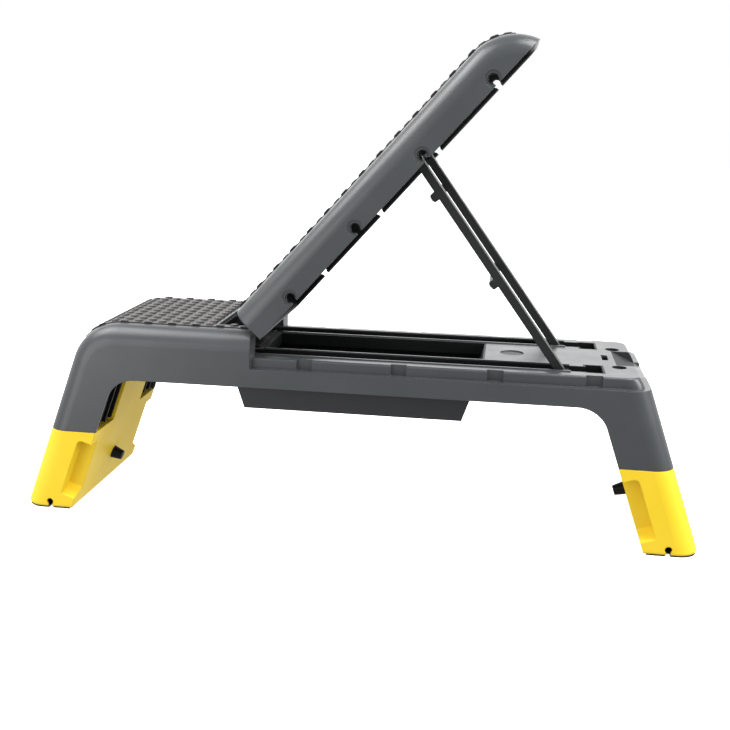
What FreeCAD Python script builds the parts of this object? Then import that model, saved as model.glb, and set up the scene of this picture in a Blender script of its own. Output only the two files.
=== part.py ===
import FreeCAD
import Part
import math
import os
from FreeCAD import Vector

# Step platform with a hinged backrest and two fold-out feet.
# Millimetres. X runs along the platform, Y across it, Z up from the floor.
# The backrest is drawn lying flat on the lower deck and then turned up about its hinge.

os.makedirs("parts", exist_ok=True)

# Whole platform
half_length = 596.0
platform_width = 325.0
seat_height = 344.0
leg_lean_degrees = 19.0
leg_depth = 92.0
foot_height = 148.0
seat_rise = 45.5
rebate_height = 18.5
rail_height = 32.0
seat_share = 0.29026846
rebate = 13.5
end_rebate = 9.0
rim_radius = 4.0
end_radius = 91.0
edge_radius = 34.0
arch_radius = 54.0
wall = 4.5
overrun = 6.0

# Clearances
running_clearance = 0.05
side_clearance = 0.3
fold_clearance = 3.0
thread_clearance = 0.03
shank_clearance = 0.25

# Backrest hinge
hinge_from_seat_end = 48.0
hinge_below_top = 20.0
recline_degrees = 48.6
backrest_gap = 2.0
end_round = 4.0
hinge_pin_radius = 5.0
tongue_eye_radius = 14.0
tongue_half_height = 12.0
tongue_from = 10.0
tongue_side_gap = 16.0
carrier_plate = 4.0
carrier_margin = 3.0
lug_radius = 10.0
middle_lug_half = 8.5
outer_lug_width = 8.0

# Hinge pocket in the end of the seat
pocket_length = 71.0
pocket_side_margin = 44.5
seat_notch_margin = 15.0
seat_lip_radius = 8.0

# Lower deck
track_side_margin = 45.5
track_width = 37.0
track_depth = 17.1
track_wall = 3.0
track_under_seat = 42.0
track_from_toe = 201.0
track_bead_width = 4.0
track_bead_height = 2.0
entry_length = 27.0
entry_inner = 13.0
entry_outer = 3.5
well_from_seat = 8.0
well_side_gap = 14.0
notch_width = 27.0
notch_depth = 8.0
latch_slot_from_toe = 163.0
latch_slot_length = 40.0
latch_slot_width = 11.0
peg_hole_from_toe = 144.0
peg_hole_side_gap = 8.5
peg_hole_radius = 12.5
grip_from_toe = 148.0
grip_side_gap = 14.5
grip_fall_degrees = 25.0
dimple_depth = 2.0
snub_width = 5.0
snub_height = 1.5
liner_tab_width = 8.4
liner_tab_shares = (-0.3, 0.2, 0.7)

# Band keyholes in the sides of the backrest
keyhole_first_share = 0.13570174
keyhole_pitch_share = 0.24157893
keyhole_count = 4
keyhole_radius = 8.5
keyhole_rise = 10.8
keyhole_slot = 10.0
ring_radius = 13.5
ring_depth = 1.5
grommet_wall = 1.2

# Backrest liner and latch
liner_gap = 0.3
liner_wall = 3.0
liner_rise = 3.0
liner_screw_shares = (0.14, 0.38, 0.6, 0.8)
hook_length = 26.0
hook_reach = 9.5
hook_thickness = 5.0

# Mats
mat_sheet = 1.5
stud_pitch = 25.1
stud_base_radius = 8.8
stud_top_radius = 6.4
stud_height = 2.4
stud_edge = 1.5
mat_side_margin = 34.5
mat_end_margin = 7.0
mat_lip = 6.0
mat_wrap_drop = 30.0

# Prop frame
prop_pivot_share = 0.67105260
prop_pivot_drop = 30.0
prop_length_share = 0.64346488
strut_side_gap = 4.0
strut_width = 29.0
strut_thickness = 14.0
strut_eye_radius = 8.0
prop_pin_radius = 4.0
prop_lug_width = 4.2
prop_lug_radius = 9.0
crossbar_width = 15.0
crossbar_thickness = 10.0
crossbar_round = 3.0
crossbar_shares = (0.15758980, 0.56546929)
slide_wall = 1.5
slide_length = 30.0
seat_ramp_length = 40.0
seat_ramp_height = 4.4
foot_stop_height = 9.0
foot_stop_length = 6.0

# Fold-out feet
foot_pivot_drop = 21.0
pivot_cover = 15.2818
foot_gap = 0.6
foot_wall = 5.0
foot_round = 4.0
neck_side_margin = 91.0
neck_thickness = 14.0
foot_pin_radius = 5.0
sole_thickness = 3.0
sole_inset = 4.0
foot_keyhole_from_outside = 53.0
foot_keyhole_height = 12.5
foot_keyhole_radius = 6.0
foot_keyhole_slot = 8.4
foot_keyhole_depth = 16.0
hand_pocket_low = 26.0
hand_pocket_top_gap = 19.0
hand_pocket_reach = 26.0
hand_pocket_ramp = 14.0
hand_pocket_depth = 28.0
hand_pocket_round = 9.0
plug_rise = 60.341
plug_base_radius = 12.0
plug_tip_radius = 9.0
plug_height = 20.0
plug_round = 1.5
socket_radius = 15.5
socket_outer_radius = 21.0
socket_mouth_gap = 2.0
fold_degrees = 109.0

# Foot hinge brackets
bracket_gap = 5.0
bracket_rise = 10.0
bracket_plate = 4.0
bracket_inset = 5.0
cheek_gap = 2.5
cheek_width = 6.0
rib_width = 4.0
rib_pitch = 30.0
rib_count = 2
clip_radius = 8.0
clip_thickness = 1.2

# Storage tub
tub_side_margin = 35.5
tub_wall = 3.0
tub_drop = 46.0
tub_rim_gap = 1.4
tub_flange_width = 13.0
tub_flange_inset = 10.4
tub_post_radius = 4.7

# Screws
head_radius = 4.0
head_height = 2.2
shank_radius = 1.8
small_grip = 3.4
crossbar_grip = 8.0

# Worked-out sizes
lean = math.tan(math.radians(leg_lean_degrees))
lean_sine = math.sin(math.radians(leg_lean_degrees))
lean_cosine = math.cos(math.radians(leg_lean_degrees))
half_width = platform_width / 2.0
leg_inside = half_length - leg_depth
lower_deck_height = seat_height - seat_rise
ledge_height = lower_deck_height - rebate_height
rail_underside = ledge_height - rail_height
seat_end = -seat_share * half_length
backrest_end = seat_end + backrest_gap
backrest_length = half_length - ledge_height * lean - backrest_end
hinge_x = seat_end - hinge_from_seat_end
hinge_z = seat_height - hinge_below_top
pocket_left = seat_end - pocket_length
pocket_half_width = half_width - pocket_side_margin
seat_notch_half_width = pocket_half_width - seat_notch_margin
track_to = half_width - track_side_margin
track_from = track_to - track_width
track_floor = lower_deck_height - track_depth
liner_room = track_wall + side_clearance
slot_from = track_from - liner_room
slot_to = track_to + liner_room
track_left = seat_end - track_under_seat
track_right = half_length - track_from_toe
entry_from = track_from - entry_inner
entry_to = track_to + entry_outer
well_half_width = track_from - well_side_gap
tongue_to = track_from - tongue_side_gap
latch_slot_x = half_length - latch_slot_from_toe
peg_hole_x = half_length - peg_hole_from_toe
peg_hole_y = track_from - peg_hole_side_gap
grip_start = half_length - grip_from_toe
grip_half_width = peg_hole_y - grip_side_gap
hook_foot = lower_deck_height - hook_reach
strut_from = track_from + strut_side_gap
strut_to = strut_from + strut_width
strut_middle = (strut_from + strut_to) / 2.0
mat_half_width = half_width - mat_side_margin
stud_column = stud_pitch * math.sqrt(3.0) / 2.0
stud_margin = stud_base_radius + stud_edge
prop_pivot_along = prop_pivot_share * backrest_length
prop_length = prop_length_share * backrest_length
crossbar_places = [share * prop_length for share in crossbar_shares]
foot_pivot_z = rail_underside - foot_pivot_drop
foot_pivot_x = leg_inside - foot_pivot_z * lean + pivot_cover / lean_cosine
plug_from_pivot = (foot_pivot_z - pivot_cover * lean_sine - plug_rise) / lean_cosine
neck_half_width = half_width - neck_side_margin
hand_pocket_high = foot_height - hand_pocket_top_gap
socket_mouth = rail_underside + socket_mouth_gap
bracket_low = foot_height + bracket_gap
bracket_high = rail_underside + bracket_rise
cheek_from = neck_half_width + cheek_gap
rib_first = cheek_from + rib_pitch
tub_half_width = half_width - tub_side_margin
tub_floor = rail_underside - tub_drop
tub_rim = track_floor - track_wall - tub_rim_gap
keyhole_first = keyhole_first_share * backrest_length
keyhole_pitch = keyhole_pitch_share * backrest_length
keyhole_places = [backrest_end + keyhole_first + i * keyhole_pitch for i in range(keyhole_count)]
keyhole_height = ledge_height + keyhole_rise
far_x = half_length + end_radius
far_y = platform_width
far_z = seat_height + half_length
middle = Vector(0, 0, 0)
across = Vector(0, 1, 0)
upward = Vector(0, 0, 1)


def box(x, y, z):
    size = [span[1] - span[0] for span in (x, y, z)]
    return Part.makeBox(*size, Vector(x[0], y[0], z[0]))


def both(span):
    return [span, (-span[1], -span[0])]


def rod(x, z, radius, y):
    return Part.makeCylinder(radius, y[1] - y[0], Vector(x, y[0], z), across)


def prism(points, y):
    corners = [Vector(x, y[0], z) for x, z in points]
    face = Part.Face(Part.makePolygon(corners + corners[:1]))
    return face.extrude(across * (y[1] - y[0]))


def joined(shapes):
    whole = shapes[0]
    if len(shapes) > 1:
        whole = whole.fuse(shapes[1:])
    return whole.removeSplitter()


def flipped(shape):
    return shape.mirror(middle, Vector(1, 0, 0))


def group(shapes):
    return Part.makeCompound(shapes)


def outer_x(height, inset=0.0):
    return half_length - height * lean - inset / lean_cosine


def inner_x(height, inset=0.0):
    return leg_inside - height * lean + inset / lean_cosine


# The platform as one block, drawn in or out evenly by inset on every side but the floor.
def block(inset):
    top = seat_height - inset
    side = half_width - inset
    base = -overrun
    corners = [(-outer_x(base, inset), base), (-outer_x(top, inset), top),
               (outer_x(top, inset), top), (outer_x(base, inset), base)]
    solid = prism(corners, (-side, side))
    crowns = [e for e in solid.Edges if is_crown(e, top)]
    solid = solid.makeFillet(end_radius - inset, crowns)
    rims = [e for e in solid.Edges if is_rim(e, side, base)]
    return solid.makeFillet(edge_radius - inset, rims)


def is_crown(edge, top):
    ends = [v.Point for v in edge.Vertexes]
    level = all(abs(p.z - top) < running_clearance for p in ends)
    return level and abs(ends[0].x - ends[1].x) < running_clearance


def is_rim(edge, side, base):
    ends = [v.Point for v in edge.Vertexes]
    on_side = all(abs(abs(p.y) - side) < running_clearance for p in ends)
    on_base = all(abs(p.z - base) < running_clearance for p in ends)
    same_side = abs(ends[0].y - ends[1].y) < side
    return on_side and same_side and not on_base


# The opening under the platform between the two legs.
def arch():
    base = -2 * overrun
    corners = [(-inner_x(base), base), (-inner_x(rail_underside), rail_underside),
               (inner_x(rail_underside), rail_underside), (inner_x(base), base)]
    solid = prism(corners, (-far_y, far_y))
    crowns = [e for e in solid.Edges if is_crown(e, rail_underside)]
    return solid.makeFillet(arch_radius, crowns)


# Everything above the ledge and right of the seat, where the backrest lies when flat.
def backrest_space(left, bottom):
    return box((left, far_x), (-far_y, far_y), (bottom, far_z))


def slab(x, z):
    return box(x, (-far_y, far_y), z)


# A pan-head screw with the underside of its head at a point, driven along a direction.
def screw(at, direction, length):
    head = Part.makeCylinder(head_radius, head_height, at - direction * head_height, direction)
    shank = Part.makeCylinder(shank_radius, length, at, direction)
    return head.fuse(shank).removeSplitter()


def screw_holes(shape, points, direction, depth, spare):
    holes = [Part.makeCylinder(shank_radius + spare, depth, p, direction) for p in points]
    return shape.cut(holes)


# Points and slabs along the right leg: down the leg from the foot's pivot, and in from it.
leg_down = Vector(lean_sine, 0, -lean_cosine)
leg_in = Vector(-lean_cosine, 0, -lean_sine)
foot_pivot = Vector(foot_pivot_x, 0, foot_pivot_z)


def leg_point(down, inward):
    return foot_pivot + leg_down * down + leg_in * inward


def leg_prism(corners, y):
    points = [leg_point(*c) for c in corners]
    return prism([(p.x, p.z) for p in points], y)


def fold_point(point):
    turned = FreeCAD.Rotation(across, fold_degrees).multVec(point - foot_pivot)
    return foot_pivot + turned


# Inside end of the storage tub: clear of a folded foot's sole.
def tub_end(height):
    toe = fold_point(Vector(leg_inside, 0, 0))
    heel = fold_point(Vector(half_length, 0, 0))
    slope = (toe.x - heel.x) / (toe.z - heel.z)
    return heel.x + (height - heel.z) * slope - fold_clearance


plug_seat = leg_point(plug_from_pivot, pivot_cover)
plug_folded = fold_point(plug_seat)
tub_flange_half_length = tub_end(tub_floor) - tub_flange_inset
well_left = max(seat_end + well_from_seat, socket_outer_radius + wall - plug_folded.x)


def raised(shape):
    turned = shape.copy()
    turned.rotate(Vector(hinge_x, 0, hinge_z), -across, recline_degrees)
    return turned


def raised_point(x, z):
    turn = FreeCAD.Rotation(-across, recline_degrees)
    hinge = Vector(hinge_x, 0, hinge_z)
    return hinge + turn.multVec(Vector(x, 0, z) - hinge)


# Prop frame: pivot under the backrest, foot in the deck's tracks.
pivot_flat_x = hinge_x + prop_pivot_along
pivot_flat_z = hinge_z - prop_pivot_drop
prop_pivot = raised_point(pivot_flat_x, pivot_flat_z)
slide_radius = strut_thickness / 2.0
prop_foot_z = track_floor + seat_ramp_height + side_clearance + slide_radius
prop_angle = math.asin((prop_pivot.z - prop_foot_z) / prop_length)
prop_foot_x = prop_pivot.x + prop_length * math.cos(prop_angle)


def propped(shape):
    turned = shape.copy()
    turned.rotate(middle, -across, 90.0 - math.degrees(prop_angle))
    turned.translate(prop_pivot)
    return turned


outside = block(0.0)
inside = block(wall)
under = arch()


def deck_shell():
    outer = outside.cut(slab((-far_x, far_x), (-far_z, foot_height))).cut(under)
    outer = outer.cut(backrest_space(seat_end, ledge_height))
    pocket_wall = outside.common(box((pocket_left - wall, seat_end),
                                     (-pocket_half_width - wall, pocket_half_width + wall),
                                     (lower_deck_height - wall, seat_height)))
    low_room = inside.common(slab((-far_x, far_x), (-far_z, ledge_height - wall)))
    seat_room = inside.common(slab((-far_x, seat_end - wall), (ledge_height - wall, seat_height)))
    deck_room = deck_block(wall).common(
        slab((seat_end - wall, far_x), (ledge_height - wall, lower_deck_height - wall)))
    shell = outer.fuse(plateau())
    shell = shell.cut([low_room, seat_room, deck_room])
    shell = joined([shell, pocket_wall.cut(deck_room)] + deck_walls())
    return shell.cut(deck_cuts()).removeSplitter()


# The set-back part of the lower deck as a block. It is set back less at the end than along the sides.
def deck_block(inset):
    sides = block(rebate + inset)
    end = sides.copy()
    end.translate(Vector((rebate - end_rebate) / lean_cosine, 0, 0))
    return joined([sides, end])


# The set-back top of the lower deck, with a rounded rim.
def plateau():
    solid = deck_block(0.0).common(slab((seat_end - edge_radius, far_x), (ledge_height - wall, lower_deck_height)))
    rim = [e for e in solid.Edges if is_level(e, lower_deck_height) and reaches_past(e, seat_end)]
    return solid.makeFillet(rim_radius, rim).cut(slab((-far_x, seat_end), (-far_z, far_z)))


def is_level(edge, height):
    return all(abs(v.Point.z - height) < running_clearance for v in edge.Vertexes)


def reaches_past(edge, x):
    return any(v.Point.x > x for v in edge.Vertexes)


def deck_walls():
    skin = lower_deck_height - wall / 2.0
    parts = []
    for edge in (slot_from - track_bead_width, slot_to):
        for y in both((edge, edge + track_bead_width)):
            parts.append(box((seat_end, track_right - entry_length), y,
                             (skin, lower_deck_height + track_bead_height)))
    for x in keyhole_places:
        reach = notch_width / 2.0 + wall
        for y in both((half_width - rebate - notch_depth - wall, half_width - rebate - wall / 2.0)):
            parts.append(box((x - reach, x + reach), y, (ledge_height - wall / 2.0, skin)))
    grip = prism(grip_outline(wall), (-grip_half_width - wall, grip_half_width + wall))
    keep = block(wall / 2.0).common(slab((-far_x, far_x), (-far_z, ledge_height - wall / 2.0)))
    keep = keep.fuse(deck_block(wall / 2.0).common(slab((-far_x, far_x), (-far_z, skin))))
    parts.append(grip.common(keep))
    parts.extend(plug_sockets())
    parts.extend(tub_posts())
    return parts


# The well as a block, wider by thickness on each side: its right end slopes as the tub's does.
def well_block(thickness, low, high):
    right = [(tub_end(z) - tub_wall + thickness, z) for z in (low, high)]
    left = [(well_left - thickness, z) for z in (high, low)]
    side = well_half_width + thickness
    return prism(right + left, (-side, side))


# Black moulding under the lower deck: two track troughs with their entry pockets, and the collar of the well.
# Their walls stand in the deck's openings, flush with its top.
def track_liner():
    top = lower_deck_height
    skin = lower_deck_height - wall
    low = track_floor - track_wall
    right = track_right + entry_length
    parts = [well_block(track_wall, tub_rim, top)]
    hollows = [well_block(0.0, tub_rim - overrun, top + overrun)]
    for y in both((track_from - track_wall, track_to + track_wall)):
        parts.append(box((track_left - track_wall, right + track_wall), y, (low, top)))
    for y in both((entry_from - track_wall, entry_to + track_wall)):
        parts.append(box((track_right - track_wall, right + track_wall), y, (low, top)))
    for y in both((well_half_width, track_from)):
        parts.append(box((well_left, tub_end(tub_rim)), y, (skin - track_wall, skin)))
    for p in liner_tab_places():
        y = sorted((math.copysign(track_to, p.y), p.y + math.copysign(liner_tab_width / 2.0, p.y)))
        parts.append(box((p.x - liner_tab_width, p.x + liner_tab_width), y, (skin - track_wall, skin)))
    for y in both((track_from, track_to)):
        trough = box((track_left, right), y, (track_floor, top + overrun))
        hollows.append(trough.cut([foot_seat(y)] + snubs(y)))
    for y in both((entry_from, entry_to)):
        hollows.append(box((track_right, right), y, (track_floor, top + overrun)))
    liner = joined(parts).cut(hollows)
    starts = [p - upward * overrun for p in liner_tab_places()]
    return screw_holes(liner, starts, upward, track_wall + 2 * overrun, shank_clearance)


def liner_tab_places():
    level = lower_deck_height - wall - track_wall
    y = track_to + track_wall + liner_tab_width / 2.0
    return [Vector(track_right * share, s * y, level) for share in liner_tab_shares for s in (-1, 1)]


def track_liner_screws():
    return group([screw(p, upward, track_wall + small_grip - shank_radius / 2.0) for p in liner_tab_places()])


def grip_outline(below):
    fall = math.tan(math.radians(grip_fall_degrees))
    end = outer_x(ledge_height) + overrun
    start = grip_start - below
    low = lower_deck_height - (end - start) * fall - below
    top = lower_deck_height + overrun
    return [(start, top), (start, lower_deck_height - below), (end, low), (end, top)]


# A socket under the deck for each foot's plug. The left one hangs from a shelf beside the hinge pocket's floor.
def plug_sockets():
    height = lower_deck_height - wall / 2.0 - socket_mouth
    parts = [Part.makeCylinder(socket_outer_radius, height, Vector(x, 0, socket_mouth))
             for x in (-plug_folded.x, plug_folded.x)]
    half = socket_outer_radius + wall
    shelf_left = min(-plug_folded.x - half, pocket_left - wall)
    parts.append(box((shelf_left, pocket_left), (-half, half), (lower_deck_height - wall, lower_deck_height)))
    return parts


def tub_post_places():
    y = tub_half_width + tub_flange_width / 2.0
    reach = tub_flange_half_length - tub_flange_width
    return [Vector(x, s * y, tub_rim) for x in (-reach, 0, reach) for s in (-1, 1)]


def tub_posts():
    posts = []
    for p in tub_post_places():
        inside_seat = p.x + tub_post_radius < seat_end
        top = seat_height if inside_seat else lower_deck_height
        posts.append(Part.makeCylinder(tub_post_radius, top - wall / 2.0 - tub_rim, p))
    return posts


def deck_cuts():
    top = lower_deck_height + track_bead_height + overrun
    pocket_top = seat_height - wall
    cuts = [box((pocket_left, seat_end + overrun), (-pocket_half_width, pocket_half_width),
                (lower_deck_height, pocket_top)),
            box((pocket_left, seat_end + overrun), (-seat_notch_half_width, seat_notch_half_width),
                (lower_deck_height, far_z))]
    corner = box((seat_end - seat_lip_radius, seat_end + overrun), (-far_y, far_y),
                 (seat_height - seat_lip_radius, far_z))
    cuts.append(corner.cut(rod(seat_end - seat_lip_radius, seat_height - seat_lip_radius, seat_lip_radius,
                               (-far_y, far_y))))
    below = lower_deck_height - wall - overrun
    entry_end = track_right + entry_length + liner_room
    for y in both((slot_from, slot_to)):
        cuts.append(box((track_left - liner_room, entry_end), y, (below, top)))
    for y in both((entry_from - liner_room, entry_to + liner_room)):
        cuts.append(box((track_right - liner_room, entry_end), y, (below, top)))
    cuts.append(well_block(liner_room, below, top))
    for p in liner_tab_places():
        cuts.append(Part.makeCylinder(shank_radius + thread_clearance, track_wall + small_grip, p))
    for x in keyhole_places:
        reach = notch_width / 2.0
        for y in both((half_width - rebate - notch_depth, half_width)):
            cuts.append(box((x - reach, x + reach), y, (ledge_height, top)))
    cuts.append(box((latch_slot_x - latch_slot_width / 2.0, latch_slot_x + latch_slot_width / 2.0),
                    (-latch_slot_length / 2.0, latch_slot_length / 2.0),
                    (lower_deck_height - wall - overrun, top)))
    for y in (-peg_hole_y, peg_hole_y):
        cuts.append(Part.makeCylinder(peg_hole_radius, wall + 2 * overrun,
                                      Vector(peg_hole_x, y, lower_deck_height - wall - overrun)))
    cuts.append(prism(grip_outline(0.0), (-grip_half_width, grip_half_width)))
    cuts.append(Part.makeCylinder(socket_outer_radius, overrun,
                                  Vector(plug_folded.x, 0, lower_deck_height - dimple_depth)))
    for x in (-plug_folded.x, plug_folded.x):
        cuts.append(Part.makeCylinder(socket_radius, lower_deck_height - wall - dimple_depth - socket_mouth + overrun,
                                      Vector(x, 0, socket_mouth - overrun)))
    for p in tub_post_places():
        cuts.append(Part.makeCylinder(shank_radius + thread_clearance, crossbar_grip, p))
    for p in carrier_screw_places():
        cuts.append(Part.makeCylinder(shank_radius + thread_clearance, small_grip,
                                      Vector(p.x, p.y, lower_deck_height - small_grip)))
    for p in bracket_screw_places():
        for direction, at in ((-leg_in, p), (mirrored(-leg_in), mirrored(p))):
            cuts.append(Part.makeCylinder(shank_radius + thread_clearance, bracket_plate + small_grip, at, direction))
    return cuts


# Ramp and stop on the floor of a track, under the prop's foot at rest.
def foot_seat(y):
    ramp_top = track_floor + seat_ramp_height
    stop = prop_foot_x + slide_radius + side_clearance
    outline = [(prop_foot_x - seat_ramp_length, track_floor - overrun), (prop_foot_x - seat_ramp_length, track_floor),
               (prop_foot_x, ramp_top), (stop, ramp_top),
               (stop, ramp_top + foot_stop_height), (stop + foot_stop_length, ramp_top + foot_stop_height),
               (stop + foot_stop_length, track_floor - overrun)]
    return prism(outline, y)


# Small snubs in the edges of a track that hold a strut lying in it.
def snubs(y):
    parts = []
    for along in crossbar_places:
        x = pivot_flat_x - along
        for edge in (y[0], y[1] - snub_height):
            parts.append(box((x - snub_width / 2.0, x + snub_width / 2.0), (edge, edge + snub_height),
                             (lower_deck_height - wall, lower_deck_height)))
    return parts


def mirrored(vector):
    return Vector(-vector.x, vector.y, vector.z)


def seat_mat():
    right = seat_end - mat_end_margin
    keep = box((-far_x, right), (-mat_half_width, mat_half_width), (seat_height - mat_wrap_drop, far_z))
    notch = box((pocket_left - mat_lip, seat_end),
                (-seat_notch_half_width - mat_lip, seat_notch_half_width + mat_lip), (-far_z, far_z))
    return studded_sheet(right, -1).common(keep).cut(notch)


# The sheet of a mat with round studs in a triangular pattern, counted from its straight end towards the rounded one.
def studded_sheet(start, side):
    tangent = outer_x(seat_height) - end_radius / math.tan(math.radians(90.0 + leg_lean_degrees) / 2.0)
    radius = end_radius + mat_sheet
    wrap = radius * math.acos(1.0 - mat_wrap_drop / end_radius)
    length = tangent - side * start + wrap
    rows = math.ceil(mat_half_width / stud_pitch)
    studs = []
    for column in range(int((length - 2 * stud_margin) / stud_column) + 1):
        along = side * start + stud_margin + column * stud_column
        shift = stud_pitch / 2.0 * (column % 2)
        for row in range(-rows, rows + 1):
            y = row * stud_pitch + shift
            if abs(y) < mat_half_width:
                studs.append(stud(side, min(along, tangent), y, max(along - tangent, 0.0) / radius))
    return block(-mat_sheet).cut(outside).fuse(studs)


# One stud on the flat of a sheet, turned down round the end curve by an angle in radians.
def stud(side, along, y, angle):
    sunk = mat_sheet / 2.0
    cone = Part.makeCone(stud_base_radius, stud_top_radius, stud_height + sunk,
                         Vector(side * along, y, seat_height + mat_sheet - sunk))
    cone.rotate(Vector(side * along, y, seat_height - end_radius), across, side * math.degrees(angle))
    return cone


def carrier_screw_places():
    level = lower_deck_height + carrier_plate
    side = (tongue_from + tongue_to) / 2.0
    left = pocket_left + carrier_plate + carrier_margin + head_radius
    right = hinge_x + lug_radius + carrier_margin + head_radius
    return [Vector(x, s * side, level) for x in (left, right) for s in (-1, 1)]


def carrier_lugs():
    outer = tongue_to + side_clearance + outer_lug_width
    return both((outer - outer_lug_width, outer)) + [(-middle_lug_half, middle_lug_half)]


def hinge_carrier():
    half = tongue_to + side_clearance + outer_lug_width
    right = seat_end - carrier_margin
    parts = [box((pocket_left + side_clearance, right), (-half, half),
                 (lower_deck_height, lower_deck_height + carrier_plate))]
    parts.append(box((pocket_left + side_clearance, pocket_left + carrier_plate),
                     (side_clearance - pocket_half_width, pocket_half_width - side_clearance),
                     (lower_deck_height, seat_height - wall - side_clearance)))
    for y in carrier_lugs():
        parts.append(box((hinge_x - lug_radius, hinge_x + lug_radius), y, (lower_deck_height, hinge_z)))
        parts.append(rod(hinge_x, hinge_z, lug_radius, y))
    solid = joined(parts)
    solid = solid.cut(rod(hinge_x, hinge_z, hinge_pin_radius + running_clearance, (-far_y, far_y)))
    starts = [p - upward * (carrier_plate + overrun) for p in carrier_screw_places()]
    return screw_holes(solid, starts, upward, carrier_plate + 2 * overrun, shank_clearance)


def carrier_screws():
    return group([screw(p, -upward, carrier_plate + small_grip) for p in carrier_screw_places()])


def hinge_pin():
    half = tongue_to + side_clearance + outer_lug_width + 2 * clip_thickness
    return rod(hinge_x, hinge_z, hinge_pin_radius, (-half, half))


def clips(x, z, pin_radius, half):
    rings = []
    for y in both((half, half + clip_thickness)):
        ring = rod(x, z, clip_radius, y)
        rings.append(ring.cut(rod(x, z, pin_radius + running_clearance, y)))
    return group(rings)


def storage_tub():
    side = tub_half_width
    outline = [(-tub_end(tub_floor), tub_floor), (tub_end(tub_floor), tub_floor),
               (tub_end(tub_rim), tub_rim), (-tub_end(tub_rim), tub_rim)]
    outer = prism(outline, (-side, side))
    low = tub_floor + tub_wall
    high = tub_rim + overrun
    hollow = prism([(-tub_end(low) + tub_wall, low), (tub_end(low) - tub_wall, low),
                    (tub_end(high) - tub_wall, high), (-tub_end(high) + tub_wall, high)],
                   (-side + tub_wall, side - tub_wall))
    flanges = [box((-tub_flange_half_length, tub_flange_half_length), y, (tub_rim - tub_wall, tub_rim))
               for y in both((side - tub_wall, side + tub_flange_width))]
    tub = joined([outer.cut(hollow)] + flanges)
    starts = [p - upward * (tub_wall + overrun) for p in tub_post_places()]
    return screw_holes(tub, starts, upward, tub_wall + 2 * overrun, shank_clearance)


def tub_screws():
    return group([screw(p - upward * tub_wall, upward, tub_wall + crossbar_grip - shank_radius)
                  for p in tub_post_places()])


# Hinge bracket inside the right leg: a plate on the leg's outer wall with ribs and two cheeks.
def bracket_outline(thickness):
    skin = wall + side_clearance
    return [(outer_x(bracket_low, skin), bracket_low), (outer_x(bracket_high, skin), bracket_high),
            (outer_x(bracket_high, skin + thickness), bracket_high),
            (outer_x(bracket_low, skin + thickness), bracket_low)]


def rib_outline():
    skin = wall + side_clearance
    return [(outer_x(bracket_low, skin), bracket_low), (outer_x(bracket_high, skin), bracket_high),
            (inner_x(bracket_high, bracket_inset), bracket_high), (inner_x(bracket_low, bracket_inset), bracket_low)]


def bracket_screw_places():
    rise = (bracket_high - bracket_low) / 4.0
    places = []
    for z in (bracket_low + rise, bracket_high - rise):
        for y in (cheek_from + cheek_width, rib_first + rib_width):
            middle_y = y + (rib_pitch - rib_width) / 2.0
            for s in (-1, 1):
                places.append(Vector(outer_x(z, wall + side_clearance + bracket_plate), s * middle_y, z))
    return places


def hinge_bracket():
    half = rib_first + (rib_count - 1) * rib_pitch + rib_width
    spans = both((cheek_from, cheek_from + cheek_width))
    for i in range(rib_count):
        start = rib_first + i * rib_pitch
        spans.extend(both((start, start + rib_width)))
    parts = [prism(bracket_outline(bracket_plate), (-half, half))]
    parts.extend(prism(rib_outline(), y) for y in spans)
    solid = joined(parts).common(block(wall + side_clearance))
    solid = solid.cut(rod(foot_pivot_x, foot_pivot_z, foot_pin_radius + running_clearance, (-far_y, far_y)))
    starts = [p + leg_in * overrun for p in bracket_screw_places()]
    return screw_holes(solid, starts, -leg_in, bracket_plate + 2 * overrun, shank_clearance)


def bracket_screws():
    return group([screw(p, -leg_in, bracket_plate + side_clearance + small_grip - shank_radius)
                  for p in bracket_screw_places()])


def foot_pin():
    half = cheek_from + cheek_width + 2 * clip_thickness
    return rod(foot_pivot_x, foot_pivot_z, foot_pin_radius, (-half, half))


# Outer shape of the right foot between two heights, drawn in by inset.
def foot_block(inset, low, high):
    base = -2 * overrun
    inner = prism([(-far_x, base), (inner_x(base, inset), base), (inner_x(far_z, inset), far_z), (-far_x, far_z)],
                  (-far_y, far_y))
    return block(inset).common(slab((0, far_x), (low, high))).cut(inner)


# Hand recess in the far side of the right foot, open to its inner face, with a ramp at the bottom.
def hand_pocket(spare):
    back = half_width - hand_pocket_depth - spare
    front = half_width + overrun
    high = (foot_pivot_z - hand_pocket_high) / lean_cosine - spare
    low = (foot_pivot_z - hand_pocket_low) / lean_cosine + spare
    ramp_start = low - hand_pocket_ramp / lean_cosine
    depth = pivot_cover - hand_pocket_reach - spare
    mouth = pivot_cover + overrun
    main = leg_prism([(high, mouth), (ramp_start, mouth), (ramp_start, depth), (high, depth)], (back, front))
    corner = leg_point(high, depth)
    main = main.makeFillet(hand_pocket_round, [e for e in main.Edges if stands_at(e, corner)])
    ramp_end = ramp_start + (low - ramp_start) * (front - back) / (half_width - back)
    corners = [leg_point(down, depth) + across * y
               for down, y in ((ramp_start, back), (ramp_start, front), (ramp_end, front))]
    ramp = Part.Face(Part.makePolygon(corners + corners[:1])).extrude(leg_in * (mouth - depth))
    return joined([main, ramp])


def stands_at(edge, point):
    ends = [v.Point for v in edge.Vertexes]
    near = abs(ends[0].x - point.x) + abs(ends[0].z - point.z) < running_clearance
    return near and abs(ends[0].y - ends[1].y) > running_clearance


def near_and_far(shape):
    return [shape, shape.mirror(middle, across)]


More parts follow.
